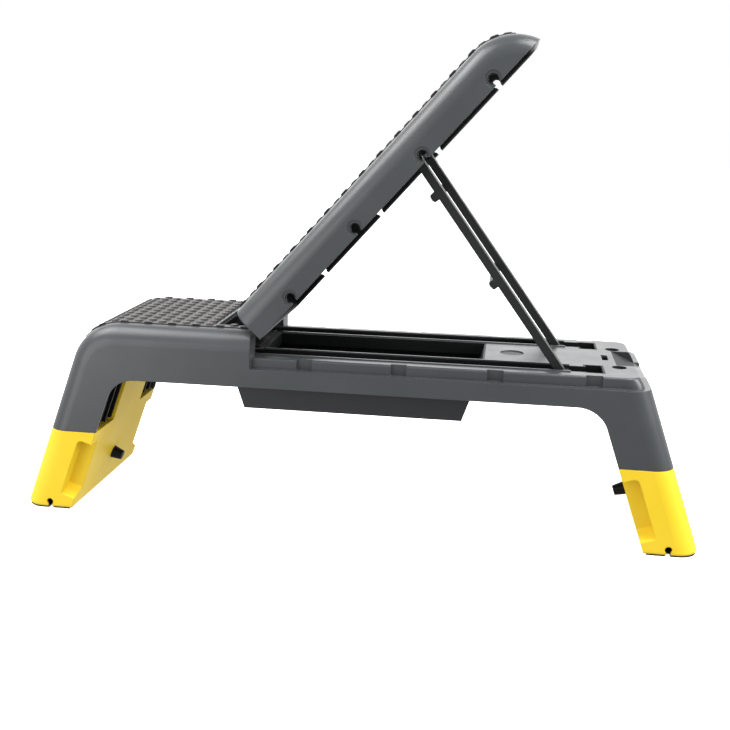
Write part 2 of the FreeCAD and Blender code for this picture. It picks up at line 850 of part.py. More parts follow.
def foot_shell():
    top = foot_height - foot_gap
    outer = foot_block(0.0, sole_thickness, top)
    outer = outer.makeFillet(foot_round, [e for e in outer.Edges if is_toe(e)])
    room = foot_block(foot_wall, -overrun, top - foot_wall)
    room = room.cut(near_and_far(hand_pocket(foot_wall)))
    shell = outer.cut(room).cut(near_and_far(hand_pocket(0.0)))
    neck_low = (foot_pivot_z - top + foot_wall) / lean_cosine
    neck = leg_prism([(0, pivot_cover), (neck_low, pivot_cover),
                      (neck_low, pivot_cover - neck_thickness), (0, pivot_cover - neck_thickness)],
                     (-neck_half_width, neck_half_width))
    eye = rod(foot_pivot_x, foot_pivot_z, pivot_cover, (-neck_half_width, neck_half_width))
    shell = joined([shell, neck, eye])
    shell = shell.cut(rod(foot_pivot_x, foot_pivot_z, foot_pin_radius + running_clearance, (-far_y, far_y)))
    shell = shell.cut(foot_keyholes())
    hole = Part.makeCylinder(shank_radius + shank_clearance, foot_wall + 2 * overrun,
                             plug_seat + leg_in * overrun, -leg_in)
    return shell.cut(hole).removeSplitter()


def is_toe(edge):
    ends = [v.Point for v in edge.Vertexes]
    across_inside = all(abs(p.x - inner_x(sole_thickness)) < running_clearance for p in ends)
    return is_level(edge, sole_thickness) and not across_inside


def foot_keyholes():
    x = half_length - foot_keyhole_from_outside
    cuts = []
    for y in both((half_width - foot_keyhole_depth, half_width + overrun)):
        cuts.append(rod(x, foot_keyhole_height, foot_keyhole_radius, y))
        cuts.append(box((x - foot_keyhole_slot / 2.0, x + foot_keyhole_slot / 2.0), y,
                        (-overrun, foot_keyhole_height)))
    return cuts


def foot_sole():
    return foot_block(sole_inset, 0, sole_thickness).cut(foot_keyholes()).removeSplitter()


def fold_plug():
    cone = Part.makeCone(plug_base_radius, plug_tip_radius, plug_height, plug_seat, leg_in)
    tip = [e for e in cone.Edges if len(e.Vertexes) == 1 and e.Curve.Radius < plug_base_radius - plug_round]
    plug = cone.makeFillet(plug_round, tip)
    return plug.cut(Part.makeCylinder(shank_radius + thread_clearance, plug_height / 2.0, plug_seat, leg_in))


def plug_screw():
    start = plug_seat - leg_in * foot_wall
    return screw(start, leg_in, foot_wall + plug_height / 2.0 - shank_radius)


def backrest_shell():
    left = backrest_end
    low = ledge_height + side_clearance
    shell = outside.common(backrest_space(left, low))
    shell = shell.makeFillet(end_round, [e for e in shell.Edges if is_end(e, left) and not is_level(e, low)])
    shell = shell.cut(inside.common(backrest_space(left + wall, -far_z)))
    dishes = [rod(x, keyhole_height, ring_radius, y) for x in keyhole_places
              for y in both((half_width - ring_depth, half_width + overrun))]
    shell = shell.cut(keyholes(0.0) + dishes)
    slots = [box((left - overrun, left + wall + overrun), y,
                 (hinge_z - tongue_half_height - side_clearance, hinge_z + tongue_half_height + side_clearance))
             for y in both((tongue_from - side_clearance, tongue_to + side_clearance))]
    shell = shell.cut(slots)
    starts = [p - upward * overrun for p in liner_screw_places()]
    return screw_holes(shell, starts, upward, liner_gap + liner_wall + small_grip + overrun - shank_radius,
                       thread_clearance)


def is_end(edge, x):
    return all(abs(v.Point.x - x) < running_clearance for v in edge.Vertexes)


def keyholes(spare):
    cuts = []
    for x in keyhole_places:
        cuts.append(rod(x, keyhole_height, keyhole_radius + spare, (-far_y, far_y)))
        cuts.append(box((x - keyhole_slot / 2.0 - spare, x + keyhole_slot / 2.0 + spare), (-far_y, far_y),
                        (ledge_height - overrun, keyhole_height)))
    return cuts


# A short sleeve in each keyhole, open where the keyhole is.
def band_grommets(y):
    low = ledge_height + liner_rise
    sleeves = []
    for x in keyhole_places:
        ring = rod(x, keyhole_height, keyhole_radius - running_clearance, y)
        ring = ring.cut(rod(x, keyhole_height, keyhole_radius - grommet_wall, y))
        mouth = keyhole_slot / 2.0
        ring = ring.cut(box((x - mouth, x + mouth), y, (low - overrun - keyhole_radius, keyhole_height)))
        sleeves.append(ring)
    return group(sleeves)


def liner_screw_places():
    level = seat_height - wall - liner_gap - liner_wall
    side = strut_from - side_clearance - prop_lug_width - 2 * head_radius
    places = [backrest_end + share * backrest_length for share in liner_screw_shares]
    return [Vector(x, s * side, level) for x in places for s in (-1, 1)]


def backrest_liner():
    skin = wall + liner_gap
    left = backrest_end + skin
    low = ledge_height + liner_rise
    liner = block(skin).common(backrest_space(left, low))
    liner = liner.cut(block(skin + liner_wall).common(backrest_space(left + liner_wall, -far_z)))
    liner = liner.cut(keyholes(grommet_wall))
    web = seat_height - skin - liner_wall / 2.0
    parts = [liner]
    for y in both((tongue_from, tongue_to)):
        parts.append(box((hinge_x, left + liner_wall), y, (hinge_z - tongue_half_height, hinge_z + tongue_half_height)))
        parts.append(rod(hinge_x, hinge_z, tongue_eye_radius, y))
    for y in prop_lugs():
        parts.append(box((pivot_flat_x - prop_lug_radius, pivot_flat_x + prop_lug_radius), y, (pivot_flat_z, web)))
        parts.append(rod(pivot_flat_x, pivot_flat_z, prop_lug_radius, y))
    hook_left = latch_slot_x - hook_thickness / 2.0
    hook = box((hook_left, hook_left + hook_thickness), (-hook_length / 2.0, hook_length / 2.0),
               (hook_foot, seat_height))
    parts.append(hook.common(block(skin + liner_wall / 2.0)))
    solid = joined(parts)
    bores = [rod(hinge_x, hinge_z, hinge_pin_radius + running_clearance, (-far_y, far_y)),
             rod(pivot_flat_x, pivot_flat_z, prop_pin_radius + running_clearance, (-far_y, far_y))]
    starts = [p - upward * overrun for p in liner_screw_places()]
    return screw_holes(solid.cut(bores), starts, upward, liner_wall + 2 * overrun, shank_clearance)


def prop_lugs():
    inner = strut_from - side_clearance
    outer = strut_to + side_clearance
    return both((inner - prop_lug_width, inner)) + both((outer, outer + prop_lug_width))


def liner_screws():
    return group([screw(p, upward, liner_wall + liner_gap + small_grip - shank_radius)
                  for p in liner_screw_places()])


def backrest_mat():
    left = backrest_end + mat_end_margin
    keep = box((left, far_x), (-mat_half_width, mat_half_width), (seat_height - mat_wrap_drop, far_z))
    return studded_sheet(left, 1).common(keep)


def prop_pin(side):
    reach = prop_lug_width + side_clearance
    span = (strut_from - reach - clip_thickness, strut_to + reach + clip_thickness)
    return rod(pivot_flat_x, pivot_flat_z, prop_pin_radius, both(span)[side])


# Prop frame, drawn hanging straight down from its pivot at the origin.
def strut(side):
    half = strut_thickness / 2.0
    y = both((strut_from, strut_to))[side]
    bar = joined([box((-half, half), y, (slide_length - prop_length, 0)), rod(0, 0, strut_eye_radius, y),
                  strut_end(side, slide_wall)])
    bar = bar.cut(rod(0, 0, prop_pin_radius + running_clearance, (-far_y, far_y)))
    starts = [p for p in crossbar_screw_places()]
    return screw_holes(bar, starts, Vector(1, 0, 0), crossbar_thickness + crossbar_grip, thread_clearance)


# The rounded foot of a strut, drawn in evenly by inset. The slide over it is flush with the strut.
def strut_end(side, inset):
    half = slide_radius - inset
    y = both((strut_from + inset, strut_to - inset))[side]
    return joined([box((-half, half), y, (-prop_length, slide_length - prop_length)), rod(0, -prop_length, half, y)])


def strut_slide(side):
    return strut_end(side, 0.0).cut(strut_end(side, slide_wall - running_clearance))


def crossbar(along):
    half = strut_thickness / 2.0
    bar = box((-half - crossbar_thickness, -half), (-strut_to, strut_to),
              (-along - crossbar_width / 2.0, -along + crossbar_width / 2.0))
    outer = [e for e in bar.Edges if all(v.Point.x < -half - running_clearance for v in e.Vertexes)]
    bar = bar.makeFillet(crossbar_round, outer)
    return screw_holes(bar, crossbar_screw_places(), Vector(1, 0, 0), crossbar_thickness, shank_clearance)


def crossbar_screw_places():
    x = -strut_thickness / 2.0 - crossbar_thickness
    return [Vector(x, s * strut_middle, -along) for along in crossbar_places for s in (-1, 1)]


def crossbar_screws():
    return group([screw(p, Vector(1, 0, 0), crossbar_thickness + crossbar_grip - shank_radius)
                  for p in crossbar_screw_places()])


grommet_reach = wall + liner_gap
grommet_spans = both((half_width - grommet_reach, half_width))
hinge_clip_half = tongue_to + side_clearance + outer_lug_width
foot_clip_half = cheek_from + cheek_width

base_pieces = {
    "deck_shell": deck_shell(),
    "seat_mat": seat_mat(),
    "track_liner": track_liner(),
    "track_liner_screws": track_liner_screws(),
    "storage_tub": storage_tub(),
    "tub_screws": tub_screws(),
    "hinge_carrier": hinge_carrier(),
    "carrier_screws": carrier_screws(),
    "backrest_hinge_pin": hinge_pin(),
    "backrest_hinge_clips": clips(hinge_x, hinge_z, hinge_pin_radius, hinge_clip_half),
}
right_pieces = {
    "hinge_bracket": hinge_bracket(),
    "bracket_screws": bracket_screws(),
    "hinge_pin": foot_pin(),
    "hinge_clips": clips(foot_pivot_x, foot_pivot_z, foot_pin_radius, foot_clip_half),
    "foot_shell": foot_shell(),
    "foot_sole": foot_sole(),
    "fold_plug": fold_plug(),
    "plug_screw": plug_screw(),
}
backrest_pieces = {
    "backrest_shell": backrest_shell(),
    "backrest_liner": backrest_liner(),
    "backrest_mat": backrest_mat(),
    "liner_screws": liner_screws(),
    "near_band_grommets": band_grommets(grommet_spans[1]),
    "far_band_grommets": band_grommets(grommet_spans[0]),
    "near_prop_pin": prop_pin(1),
    "far_prop_pin": prop_pin(0),
}
prop_pieces = {
    "near_strut": strut(1),
    "far_strut": strut(0),
    "near_strut_slide": strut_slide(1),
    "far_strut_slide": strut_slide(0),
    "upper_crossbar": crossbar(crossbar_places[0]),
    "lower_crossbar": crossbar(crossbar_places[1]),
    "crossbar_screws": crossbar_screws(),
}

pieces = dict(base_pieces)
for name, shape in right_pieces.items():
    pieces["right_" + name] = shape
    pieces["left_" + name] = flipped(shape)
for name, shape in backrest_pieces.items():
    pieces[name] = raised(shape)
for name, shape in prop_pieces.items():
    pieces[name] = propped(shape)

for name, shape in pieces.items():
    shape.exportStep("parts/%s.step" % name)
    solids = len(shape.Solids)
    print("%-24s solids %2d  volume %9.1f cm3  valid %s" % (name, solids, shape.Volume / 1000.0, shape.isValid()))

print("prop pivot", prop_pivot.x, prop_pivot.z)
print("prop foot", prop_foot_x, prop_foot_z, "angle", math.degrees(prop_angle))
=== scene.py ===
import math
import bmesh
import bpy
from mathutils import Matrix, Vector


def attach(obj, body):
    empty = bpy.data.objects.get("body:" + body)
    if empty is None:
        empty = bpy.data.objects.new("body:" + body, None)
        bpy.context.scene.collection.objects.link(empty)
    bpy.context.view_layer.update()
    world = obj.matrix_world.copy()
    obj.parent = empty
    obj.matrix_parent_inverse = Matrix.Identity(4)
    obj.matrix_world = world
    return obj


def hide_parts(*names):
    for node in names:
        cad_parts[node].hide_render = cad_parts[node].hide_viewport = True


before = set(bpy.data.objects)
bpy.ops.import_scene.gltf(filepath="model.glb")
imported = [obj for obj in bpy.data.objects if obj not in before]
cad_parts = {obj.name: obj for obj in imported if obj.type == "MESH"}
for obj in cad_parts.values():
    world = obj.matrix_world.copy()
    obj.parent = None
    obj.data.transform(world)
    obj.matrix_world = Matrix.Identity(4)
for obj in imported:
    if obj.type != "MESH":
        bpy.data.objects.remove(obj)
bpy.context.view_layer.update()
scene = bpy.context.scene
mm = 0.001
mergeM = 1e-6  # vertices closer than this become one
cutM = 1e-7  # vertices this close to a cutting plane count as on it
sharpDegrees = 40.0  # edges sharper than this stay crisp in a smooth piece


# Colours are picked as sRGB hex and turned to linear here
def hexColour(text):
    channels = [int(text[i:i + 2], 16) / 255.0 for i in (1, 3, 5)]
    return tuple(c / 12.92 if c <= 0.04045 else ((c + 0.055) / 1.055) ** 2.4 for c in channels) + (1.0,)


# Inputs go by name, or by number where several sockets of a node share a name
def addNode(tree, kind, settings=None, inputs=None):
    node = tree.nodes.new(kind)
    for name, value in (settings or {}).items():
        setattr(node, name, value)
    for name, value in (inputs or {}).items():
        if isinstance(value, bpy.types.NodeSocket):
            tree.links.new(value, node.inputs[name])
        else:
            node.inputs[name].default_value = value
    return node


# What all the moulded materials share
pattern = {
    "noiseLow": 0.3, "noiseHigh": 0.7,  # the part of the noise's range that is used
    "cloudDetail": 4.0, "cloudRoughness": 0.6, "grainDetail": 2.0, "smudgeDetail": 5.0, "smudgeRoughness": 0.65,
    "edgeSamples": 4, "softMm": 1.0, "ior": 1.5,
    "patchFade": 1.01}  # a patch fades out over a hundredth of its size
mixSocket = {"under": 6, "over": 7, "mixed": 2}  # the colour sockets of a Mix node


# A patch covers the colour and roughness so far, inside an ellipsoid or, where it is square, inside a box
def addPatch(tree, place, patch, baseColour, roughness):
    offset = addNode(tree, "ShaderNodeVectorMath", {"operation": "SUBTRACT"}, {
        0: place, 1: Vector(patch["centreMm"]) * mm})
    share = addNode(tree, "ShaderNodeVectorMath", {"operation": "DIVIDE"}, {
        0: offset.outputs["Vector"], 1: Vector(patch["halfMm"]) * mm})
    if patch.get("square"):
        sides = addNode(tree, "ShaderNodeVectorMath", {"operation": "ABSOLUTE"}, {0: share.outputs["Vector"]})
        split = addNode(tree, "ShaderNodeSeparateXYZ", inputs={"Vector": sides.outputs["Vector"]})
        farthest = split.outputs["X"]
        for axis in ("Y", "Z"):
            larger = addNode(tree, "ShaderNodeMath", {"operation": "MAXIMUM"}, {
                0: farthest, 1: split.outputs[axis]})
            farthest = larger.outputs["Value"]
    else:
        reach = addNode(tree, "ShaderNodeVectorMath", {"operation": "LENGTH"}, {0: share.outputs["Vector"]})
        farthest = reach.outputs["Value"]
    inside = addNode(tree, "ShaderNodeMapRange", inputs={
        "Value": farthest, "From Min": 1.0, "From Max": pattern["patchFade"], "To Min": 1.0, "To Max": 0.0})
    covered = addNode(tree, "ShaderNodeMix", {"data_type": "RGBA"}, {
        "Factor": inside.outputs["Result"], mixSocket["under"]: baseColour,
        mixSocket["over"]: hexColour(patch["colour"])})
    dulled = addNode(tree, "ShaderNodeMapRange", inputs={
        "Value": inside.outputs["Result"], "To Min": roughness, "To Max": patch["roughness"]})
    return covered.outputs[mixSocket["mixed"]], dulled.outputs["Result"]


# Two close colours in clouds, a grain in the bump, a roughness that wanders, and edges that catch the light softly
def mouldedMaterial(name, look):
    material = bpy.data.materials.new(name)
    material.use_nodes = True
    tree = material.node_tree
    tree.nodes.clear()
    place = addNode(tree, "ShaderNodeTexCoord").outputs["Object"]
    stretched = addNode(tree, "ShaderNodeMapping", inputs={"Vector": place, "Scale": look.get("stretch", (1, 1, 1))})
    clouds = addNode(tree, "ShaderNodeTexNoise", inputs={
        "Vector": place, "Scale": 1.0 / (look["cloudMm"] * mm),
        "Detail": pattern["cloudDetail"], "Roughness": pattern["cloudRoughness"]})
    colour = addNode(tree, "ShaderNodeValToRGB", inputs={"Fac": clouds.outputs["Fac"]})
    darkStop, lightStop = colour.color_ramp.elements
    darkStop.position, darkStop.color = pattern["noiseLow"], hexColour(look["dark"])
    lightStop.position, lightStop.color = pattern["noiseHigh"], hexColour(look["light"])
    grain = addNode(tree, "ShaderNodeTexNoise", inputs={
        "Vector": stretched.outputs["Vector"], "Scale": 1.0 / (look["grainMm"] * mm),
        "Detail": pattern["grainDetail"]})
    smudge = addNode(tree, "ShaderNodeTexNoise", inputs={
        "Vector": place, "Scale": 1.0 / (look["smudgeMm"] * mm),
        "Detail": pattern["smudgeDetail"], "Roughness": pattern["smudgeRoughness"]})
    smoothest, roughest = look["roughness"]
    rough = addNode(tree, "ShaderNodeMapRange", inputs={
        "Value": smudge.outputs["Fac"], "From Min": pattern["noiseLow"], "From Max": pattern["noiseHigh"],
        "To Min": smoothest, "To Max": roughest})
    baseColour, roughness = colour.outputs["Color"], rough.outputs["Result"]
    for patch in look.get("patches", []):
        baseColour, roughness = addPatch(tree, place, patch, baseColour, roughness)
    softEdge = addNode(tree, "ShaderNodeBevel", {"samples": pattern["edgeSamples"]}, {
        "Radius": look.get("softMm", pattern["softMm"]) * mm})
    bump = addNode(tree, "ShaderNodeBump", inputs={
        "Height": grain.outputs["Fac"], "Strength": look["grainStrength"], "Distance": look["grainDepthMm"] * mm,
        "Normal": softEdge.outputs["Normal"]})
    shader = addNode(tree, "ShaderNodeBsdfPrincipled", inputs={
        "Base Color": baseColour, "Roughness": roughness, "Normal": bump.outputs["Normal"],
        "IOR": look.get("ior", pattern["ior"]), "Metallic": look.get("metallic", 0.0)})
    addNode(tree, "ShaderNodeOutputMaterial", inputs={"Surface": shader.outputs["BSDF"]})
    return material


# Polypropylene from a spark-eroded mould: mid grey, satin, a fine pebbled grain that breaks up the highlights.
# The real grain is about 0.4 mm and is drawn at 1.3 mm so that it shows.
greyLook = {
    "dark": "#383b3d", "light": "#3d4042", "cloudMm": 120, "grainMm": 1.3, "grainStrength": 0.08, "grainDepthMm": 0.2,
    "smudgeMm": 55, "roughness": (0.28, 0.36), "softMm": 1.5}
greyShell = mouldedMaterial("spark grained grey polypropylene", greyLook)
# The deck's dimple is etched dull, so it stays dark where the deck around it mirrors the backdrop
dimplePatch = {"centreMm": (271.0, 0.0, 296.5), "halfMm": (20.2, 20.2, 20.2), "colour": "#3a3c3e", "roughness": 0.52}
# Painted shade: the sill by the backrest's hinge is coloured near black and dull, standing in for the shade of the
# pocket beside it
sillPaintedShade = {"centreMm": (-171.0, 0.0, 298.5), "halfMm": (10.0, 112.0, 8.0), "colour": "#0c0d0e", "roughness": 0.8}
# Painted shade: the grip recess is coloured dark and dull, standing in for the shade inside it
gripPaintedShade = {"centreMm": (469.0, 0.0, 288.75), "halfMm": (20.6, 57.2, 9.55), "colour": "#1c1e20", "roughness": 0.7,
             "square": True}
# Painted shade: the near and far peg holes are coloured near black, standing in for the shade inside them
nearPegPaintedShade = {"centreMm": (452.0, -71.5, 296.25), "halfMm": (12.7, 12.7, 12.7), "colour": "#0c0d0e",
                "roughness": 0.8}
farPegPaintedShade = {**nearPegPaintedShade, "centreMm": (452.0, 71.5, 296.25)}
# The deck's grey carries the dull dimple and the painted shade of the sill, the grip recess and the peg holes
deckShell = mouldedMaterial("grey polypropylene with a dull dimple and painted shade", {
    **greyLook, "patches": [dimplePatch, sillPaintedShade, gripPaintedShade, nearPegPaintedShade, farPegPaintedShade]})
# The same polymer in the tub's darker batch, duller because its grain is deeper
tubShell = mouldedMaterial("dark grey tub polypropylene", {
    "dark": "#1b1c20", "light": "#1f2024", "cloudMm": 90, "grainMm": 1.3, "grainStrength": 0.2, "grainDepthMm": 0.2,
    "smudgeMm": 60, "roughness": (0.45, 0.55)})
# Black polypropylene of the inner mouldings: soft sheen, faint flow clouds
blackLiner = mouldedMaterial("black liner polypropylene", {
    "dark": "#0c0d0e", "light": "#101112", "cloudMm": 70, "grainMm": 1.3, "grainStrength": 0.2, "grainDepthMm": 0.2,
    "smudgeMm": 45, "roughness": (0.42, 0.55), "ior": 1.28})
# Glass-filled nylon of the prop frame: dull charcoal with short fibres drawn out along the bars
propNylon = mouldedMaterial("glass filled black nylon", {
    "dark": "#0d0e0f", "light": "#131516", "cloudMm": 40, "grainMm": 1.6, "grainStrength": 0.3, "grainDepthMm": 0.2,
    "smudgeMm": 35, "roughness": (0.42, 0.58), "stretch": (1.0, 1.0, 0.4), "ior": 1.42})
# Yellow polypropylene of the feet: strong even colour, satin, the same spark-eroded grain as the deck
yellowShell = mouldedMaterial("spark grained yellow polypropylene", {
    "dark": "#e4c224", "light": "#e9c82f", "cloudMm": 90, "grainMm": 1.3, "grainStrength": 0.12, "grainDepthMm": 0.2,
    "smudgeMm": 60, "roughness": (0.4, 0.5), "softMm": 3.0, "ior": 1.33})
# Thermoplastic rubber of the mats: warm dark grey with a dry sheen where the light grazes it
studRubber = mouldedMaterial("studded mat rubber", {
    "dark": "#292626", "light": "#302d2c", "cloudMm": 30, "grainMm": 1.1, "grainStrength": 0.12, "grainDepthMm": 0.15,
    "smudgeMm": 18, "roughness": (0.4, 0.48), "ior": 1.32})
# Sole rubber: black, matt, slightly dusty
soleRubber = mouldedMaterial("matt sole rubber", {
    "dark": "#161514", "light": "#242220", "cloudMm": 25, "grainMm": 1.5, "grainStrength": 0.5, "grainDepthMm": 0.3,
    "smudgeMm": 15, "roughness": (0.7, 0.85)})
# Plug and grommet rubber: black with a soft gloss from the mould
plugRubber = mouldedMaterial("black plug rubber", {
    "dark": "#090a0b", "light": "#0e0f10", "cloudMm": 15, "grainMm": 1.2, "grainStrength": 0.25, "grainDepthMm": 0.2,
    "smudgeMm": 10, "roughness": (0.4, 0.55), "ior": 1.25})
# Zinc plated steel of the pins, clips and screws: cool bright metal, clouded by the plating bath
zincSteel = mouldedMaterial("zinc plated steel", {
    "dark": "#9b9fa4", "light": "#b7babd", "cloudMm": 6, "grainMm": 0.8, "grainStrength": 0.1, "grainDepthMm": 0.05,
    "smudgeMm": 5, "roughness": (0.28, 0.42), "metallic": 1.0})

nodeFinishes = {
    deckShell: ["deck_shell"],
    greyShell: ["backrest_shell"],
    tubShell: ["storage_tub"],
    blackLiner: ["backrest_liner", "track_liner", "hinge_carrier", "left_hinge_bracket", "right_hinge_bracket"],
    propNylon: ["near_strut", "far_strut", "near_strut_slide", "far_strut_slide", "upper_crossbar", "lower_crossbar"],
    yellowShell: ["left_foot_shell", "right_foot_shell"],
    studRubber: ["seat_mat", "backrest_mat"],
    soleRubber: ["left_foot_sole", "right_foot_sole"],
    plugRubber: ["left_fold_plug", "right_fold_plug", "near_band_grommets", "far_band_grommets"],
    zincSteel: ["track_liner_screws", "tub_screws", "carrier_screws", "backrest_hinge_pin", "backrest_hinge_clips",
                "left_bracket_screws", "right_bracket_screws", "left_hinge_pin", "right_hinge_pin",
                "left_hinge_clips", "right_hinge_clips", "left_plug_screw", "right_plug_screw", "liner_screws",
                "near_prop_pin", "far_prop_pin", "crossbar_screws"]}
for finish, names in nodeFinishes.items():
    for name in names:
        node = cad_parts[name]
        if node.material_slots:
            for materialSlot in node.material_slots:
                materialSlot.material = finish
        else:
            node.data.materials.append(finish)
print("finishes on", sum(len(names) for names in nodeFinishes.values()), "of", len(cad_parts), "nodes")

# The moulded mats, drawn with the backrest lying flat. Round studs stand in a triangular pattern on a thin sheet.
mat = {
    "topMm": 344.0, "halfWidthMm": 128.0, "sheetMm": 1.5,
    "tangentMm": 412.6, "endRadiusMm": 91.0, "wrapDegrees": 47.5, "wrapSteps": 14,
    "studPitchMm": 25.1, "studBaseMm": 8.8, "studTopMm": 6.4, "studHeightMm": 2.4, "studSides": 12,
    "studRoundMm": 1.3, "studRoundSteps": 2, "studEdgeMm": 1.5}
seat = {"rightMm": -180.0, "notchLeftMm": -250.0, "notchHalfMm": 109.0}
backrest = {"leftMm": -164.0, "hinge": (-0.221, 0.0, 0.324), "raiseDegrees": 48.6}


def turnAbout(centre, angle):
    return Matrix.Translation(centre) @ Matrix.Rotation(angle, 4, "Y") @ Matrix.Translation(-centre)


# Middle of the curve at the mat's rounded end. side is -1 for the left end of the platform and 1 for the right.
def endCentre(side):
    return Vector((side * mat["tangentMm"] * mm, 0, (mat["topMm"] - mat["endRadiusMm"]) * mm))


# A sheet along the top from startMm to the end curve, wrapped down it
def matSheet(startMm, side):
    bm = bmesh.new()
    half = mat["halfWidthMm"] * mm
    top = mat["topMm"] * mm
    ends = [bm.verts.new((startMm * mm, y, top)) for y in (-half, half)]
    edge = bm.edges.new(ends)
    reach = side * mat["tangentMm"] * mm - startMm * mm
    grown = bmesh.ops.extrude_edge_only(bm, edges=[edge])["geom"]
    lead = [v for v in grown if isinstance(v, bmesh.types.BMVert)]
    bmesh.ops.translate(bm, verts=lead, vec=(reach, 0, 0))
    leadEdge = [e for e in grown if isinstance(e, bmesh.types.BMEdge)]
    bmesh.ops.spin(bm, geom=leadEdge + lead, cent=endCentre(side), axis=(0, side, 0), dvec=(0, 0, 0),
                   angle=math.radians(mat["wrapDegrees"]), steps=mat["wrapSteps"], use_merge=False)
    bmesh.ops.remove_doubles(bm, verts=bm.verts, dist=mergeM)
    return bm


def cutNotch(bm):
    left = seat["notchLeftMm"] * mm
    half = seat["notchHalfMm"] * mm
    for point, normal in (((left, 0, 0), (1, 0, 0)), ((0, half, 0), (0, 1, 0)), ((0, -half, 0), (0, 1, 0))):
        bmesh.ops.bisect_plane(bm, geom=bm.verts[:] + bm.edges[:] + bm.faces[:], dist=cutM,
                               plane_co=point, plane_no=normal)
    inside = [f for f in bm.faces if f.calc_center_median().x > left and abs(f.calc_center_median().y) < half]
    bmesh.ops.delete(bm, geom=inside, context="FACES")


def thicken(bm):
    for face in bm.faces:
        face.normal_update()
        if face.normal.z < 0:
            face.normal_flip()
    bmesh.ops.solidify(bm, geom=bm.faces[:], thickness=-mat["sheetMm"] * mm)
    bmesh.ops.recalc_face_normals(bm, faces=bm.faces)


# One stud, standing on z = 0: a short cone with a rounded top, rooted in the sheet and cut off where the mat ends
def stud(alongMm, yMm, cuts):
    bm = bmesh.new()
    rootMm = mat["sheetMm"] / 2.0
    depthMm = mat["studHeightMm"] + rootMm
    bmesh.ops.create_cone(bm, cap_ends=True, segments=mat["studSides"], radius1=mat["studBaseMm"] * mm,
                          radius2=mat["studTopMm"] * mm, depth=depthMm * mm)
    bmesh.ops.translate(bm, verts=bm.verts, vec=(0, 0, (depthMm / 2.0 - rootMm) * mm))
    rim = [e for e in bm.edges if all(v.co.z > 0 for v in e.verts)]
    bmesh.ops.bevel(bm, geom=rim, offset=mat["studRoundMm"] * mm, segments=mat["studRoundSteps"],
                    profile=0.5, affect="EDGES", material=-1)
    centre = Vector((alongMm, yMm, 0)) * mm
    for point, outward in cuts:
        bmesh.ops.bisect_plane(bm, geom=bm.verts[:] + bm.edges[:] + bm.faces[:], dist=cutM,
                               plane_co=Vector(point) * mm - centre, plane_no=outward, clear_outer=True)
        bmesh.ops.holes_fill(bm, edges=bm.edges, sides=0)
    return bm


# Where a stud stands for a length along the sheet: on the flat, or turned down round the end curve
def studPlace(alongMm, yMm, side):
    over = side * alongMm - mat["tangentMm"]
    sheetTop = (mat["topMm"] + mat["sheetMm"]) * mm
    if over <= 0:
        return Matrix.Translation((alongMm * mm, yMm * mm, sheetTop))
    centre = endCentre(side)
    turn = side * over / (mat["endRadiusMm"] + mat["sheetMm"])
    return turnAbout(centre, turn) @ Matrix.Translation((centre.x, yMm * mm, sheetTop))


# Planes that cut a stud back to the mat's long edges and to the seat's notch. None leaves the stud out.
def studCuts(alongMm, yMm, notched):
    reach = mat["studBaseMm"]
    half = mat["halfWidthMm"]
    outward = math.copysign(1, yMm)
    if abs(yMm) >= half:
        return None
    cuts = [((0, outward * half, 0), (0, outward, 0))] if abs(yMm) + reach > half else []
    if not notched:
        return cuts
    pastLeft = alongMm - seat["notchLeftMm"]
    pastSide = seat["notchHalfMm"] - abs(yMm)
    nearest = min(pastLeft, pastSide)
    if nearest <= -reach:
        return cuts
    if nearest > reach / 2.0:
        return None
    if pastLeft < pastSide:
        return cuts + [((seat["notchLeftMm"], 0, 0), (1, 0, 0))]
    return cuts + [((0, outward * seat["notchHalfMm"], 0), (0, -outward, 0))]


# Columns of studs are counted from the straight end of the mat, and every second one is shifted by half the pitch
def addStuds(bm, startMm, side, notched):
    pitch = mat["studPitchMm"]
    step = pitch * math.sqrt(3.0) / 2.0
    margin = mat["studBaseMm"] + mat["studEdgeMm"]
    wrapMm = (mat["endRadiusMm"] + mat["sheetMm"]) * math.radians(mat["wrapDegrees"])
    lengthMm = mat["tangentMm"] + wrapMm - side * startMm
    rows = math.ceil(mat["halfWidthMm"] / pitch)
    count = 0
    for column in range(int((lengthMm - 2 * margin) / step) + 1):
        along = startMm + side * (margin + column * step)
        for row in range(-rows, rows + 1):
            y = (row + 0.5 * (column % 2)) * pitch
            cuts = studCuts(along, y, notched)
            if cuts is None:
                continue
            one = stud(along, y, cuts)
            bmesh.ops.transform(one, matrix=studPlace(along, y, side), verts=one.verts)
            spare = bpy.data.meshes.new("spareStud")
            one.to_mesh(spare)
            one.free()
            bm.from_mesh(spare)
            bpy.data.meshes.remove(spare)
            count += 1
    bmesh.ops.recalc_face_normals(bm, faces=bm.faces)
    return count


def finishPiece(bm, name, material):
    mesh = bpy.data.meshes.new(name)
    bm.to_mesh(mesh)
    bm.free()
    mesh.materials.append(material)
    for polygon in mesh.polygons:
        polygon.use_smooth = True
    mesh.set_sharp_from_angle(angle=math.radians(sharpDegrees))
    piece = bpy.data.objects.new(name, mesh)
    scene.collection.objects.link(piece)
    return piece


sheet = matSheet(seat["rightMm"], -1)
cutNotch(sheet)
thicken(sheet)
seatStuds = addStuds(sheet, seat["rightMm"], -1, True)
seatMat = finishPiece(sheet, "seatMat", studRubber)
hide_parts("seat_mat")
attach(seatMat, "base")

sheet = matSheet(backrest["leftMm"], 1)
thicken(sheet)
backrestStuds = addStuds(sheet, backrest["leftMm"], 1, False)
raised = turnAbout(Vector(backrest["hinge"]), -math.radians(backrest["raiseDegrees"]))
bmesh.ops.transform(sheet, matrix=raised, verts=sheet.verts)
backrestMat = finishPiece(sheet, "backrestMat", studRubber)
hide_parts("backrest_mat")
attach(backrestMat, "backrest")
print("mats with", seatStuds, "and", backrestStuds, "studs")

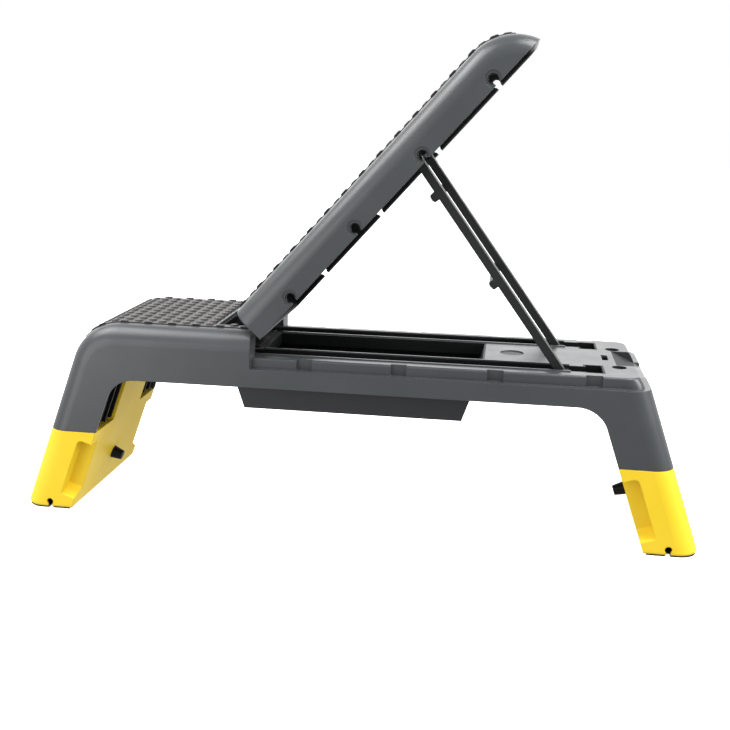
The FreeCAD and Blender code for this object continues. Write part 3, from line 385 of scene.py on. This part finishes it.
# White studio sweep: it glows, so that it stays white under the object as in the photograph
studioFloor = {"halfM": 14.0, "glow": 0.85}
floorMesh = bmesh.new()
bmesh.ops.create_grid(floorMesh, x_segments=2, y_segments=2, size=studioFloor["halfM"])
floorMaterial = mouldedMaterial("white studio sweep", {
    "dark": "#f4f4f4", "light": "#f6f6f6", "cloudMm": 600, "grainMm": 20, "grainStrength": 0.02, "grainDepthMm": 0.1,
    "smudgeMm": 500, "roughness": (0.75, 0.85)})
sweep = next(n for n in floorMaterial.node_tree.nodes if n.type == "BSDF_PRINCIPLED")
sweep.inputs["Emission Color"].default_value = (1.0, 1.0, 1.0, 1.0)
sweep.inputs["Emission Strength"].default_value = studioFloor["glow"]
floor = finishPiece(floorMesh, "studioFloor", floorMaterial)
floor.visible_diffuse = False
floor.visible_glossy = False

# The room's glow by direction: each band runs from low to high along one axis of the unit direction.
# Behind the object stands the bright backdrop, in front the room is dimmer, and the last three bands multiply that.
# Where a band's high end is the name of an earlier band, it takes that one's glow.
glowBands = {
    "backdrop": {"axis": "Z", "starts": -0.15, "ends": -0.02, "low": 1.0, "high": 1.75},
    "behind": {"axis": "Y", "starts": 0.5, "ends": 0.85, "low": 0.7, "high": "backdrop"},
    "above": {"axis": "Z", "starts": 0.45, "ends": 0.9, "low": 1.15, "high": 0.85},
    "below": {"axis": "Z", "starts": -0.06, "ends": -0.02, "low": 0.78, "high": 1.0},
    "leftward": {"axis": "X", "starts": -0.5, "ends": 0.1, "low": 1.3, "high": 1.0}}
world = bpy.data.worlds.new("studio")
scene.world = world
world.use_nodes = True
tree = world.node_tree
tree.nodes.clear()
direction = addNode(tree, "ShaderNodeTexCoord").outputs["Generated"]
towards = addNode(tree, "ShaderNodeSeparateXYZ", inputs={"Vector": direction})
glows = {}
for name, band in glowBands.items():
    mapped = addNode(tree, "ShaderNodeMapRange", inputs={
        "Value": towards.outputs[band["axis"]], "From Min": band["starts"], "From Max": band["ends"],
        "To Min": band["low"], "To Max": glows.get(band["high"], band["high"])})
    glows[name] = mapped.outputs["Result"]
strength = glows["behind"]
for name in ("above", "below", "leftward"):
    product = addNode(tree, "ShaderNodeMath", {"operation": "MULTIPLY"}, {0: strength, 1: glows[name]})
    strength = product.outputs["Value"]
# The backdrop itself is plain white wherever the camera sees it
lightPath = addNode(tree, "ShaderNodeLightPath")
seen = addNode(tree, "ShaderNodeMapRange", inputs={
    "Value": lightPath.outputs["Is Camera Ray"], "To Min": strength, "To Max": 1.0})
glow = addNode(tree, "ShaderNodeBackground", inputs={"Strength": seen.outputs["Result"], "Color": (1, 1, 1, 1)})
addNode(tree, "ShaderNodeOutputWorld", inputs={"Surface": glow.outputs["Background"]})
# Five soft panels: one low on the left, one on the right, and three above that draw the sheen along the rounded edges
panels = {
    "leftPanel": {"place": (-1.5, -1.6, 0.4), "aim": (-0.3, 0.0, 0.3), "sizeM": 1.5, "watts": 16.0},
    "highLeftPanel": {"place": (-1.8, -0.1, 2.2), "aim": (-0.2, 0.0, 0.4), "sizeM": 1.4, "watts": 32.0},
    "highRightPanel": {"place": (1.1, -0.4, 2.4), "aim": (0.3, 0.0, 0.5), "sizeM": 1.2, "watts": 50.0},
    "rightPanel": {"place": (2.3, -0.6, 1.2), "aim": (0.4, 0.0, 0.3), "sizeM": 1.2, "watts": 44.0},
    "frontTopPanel": {"place": (-1.1, -0.5, 2.0), "aim": (-0.45, 0.0, 0.3), "sizeM": 1.2, "watts": 20.0}}
for name, panel in panels.items():
    lamp = bpy.data.lights.new(name, "AREA")
    lamp.shape = "SQUARE"
    lamp.size = panel["sizeM"]
    lamp.energy = panel["watts"]
    light = bpy.data.objects.new(name, lamp)
    light.location = panel["place"]
    light.rotation_euler = (Vector(panel["aim"]) - Vector(panel["place"])).to_track_quat("-Z", "Y").to_euler()
    scene.collection.objects.link(light)
scene.view_settings.view_transform = "Standard"

# Camera at the photograph's place, with its angles in radians
shot = {"place": (0.2537, -1.9057, 0.7191), "yaw": -0.1555, "pitch": -0.198, "roll": 0.0201,
        "lensMm": 52.94, "sensorMm": 36.0, "shiftX": 0.0363, "shiftY": -0.0541}
yaw, pitch, roll = shot["yaw"], shot["pitch"], shot["roll"]
forward = Vector((math.sin(yaw) * math.cos(pitch), math.cos(yaw) * math.cos(pitch), math.sin(pitch)))
level = Vector((math.cos(yaw), -math.sin(yaw), 0.0))
upright = level.cross(forward)
right = math.cos(roll) * level + math.sin(roll) * upright
up = -math.sin(roll) * level + math.cos(roll) * upright
lens = bpy.data.cameras.new("photoCamera")
lens.lens = shot["lensMm"]
lens.sensor_width = shot["sensorMm"]
lens.sensor_fit = "HORIZONTAL"
lens.shift_x = shot["shiftX"]
lens.shift_y = shot["shiftY"]
camera = bpy.data.objects.new("photoCamera", lens)
camera.matrix_world = Matrix.Translation(shot["place"]) @ Matrix((right, up, -forward)).transposed().to_4x4()
scene.collection.objects.link(camera)
scene.camera = camera
print("camera and light set")
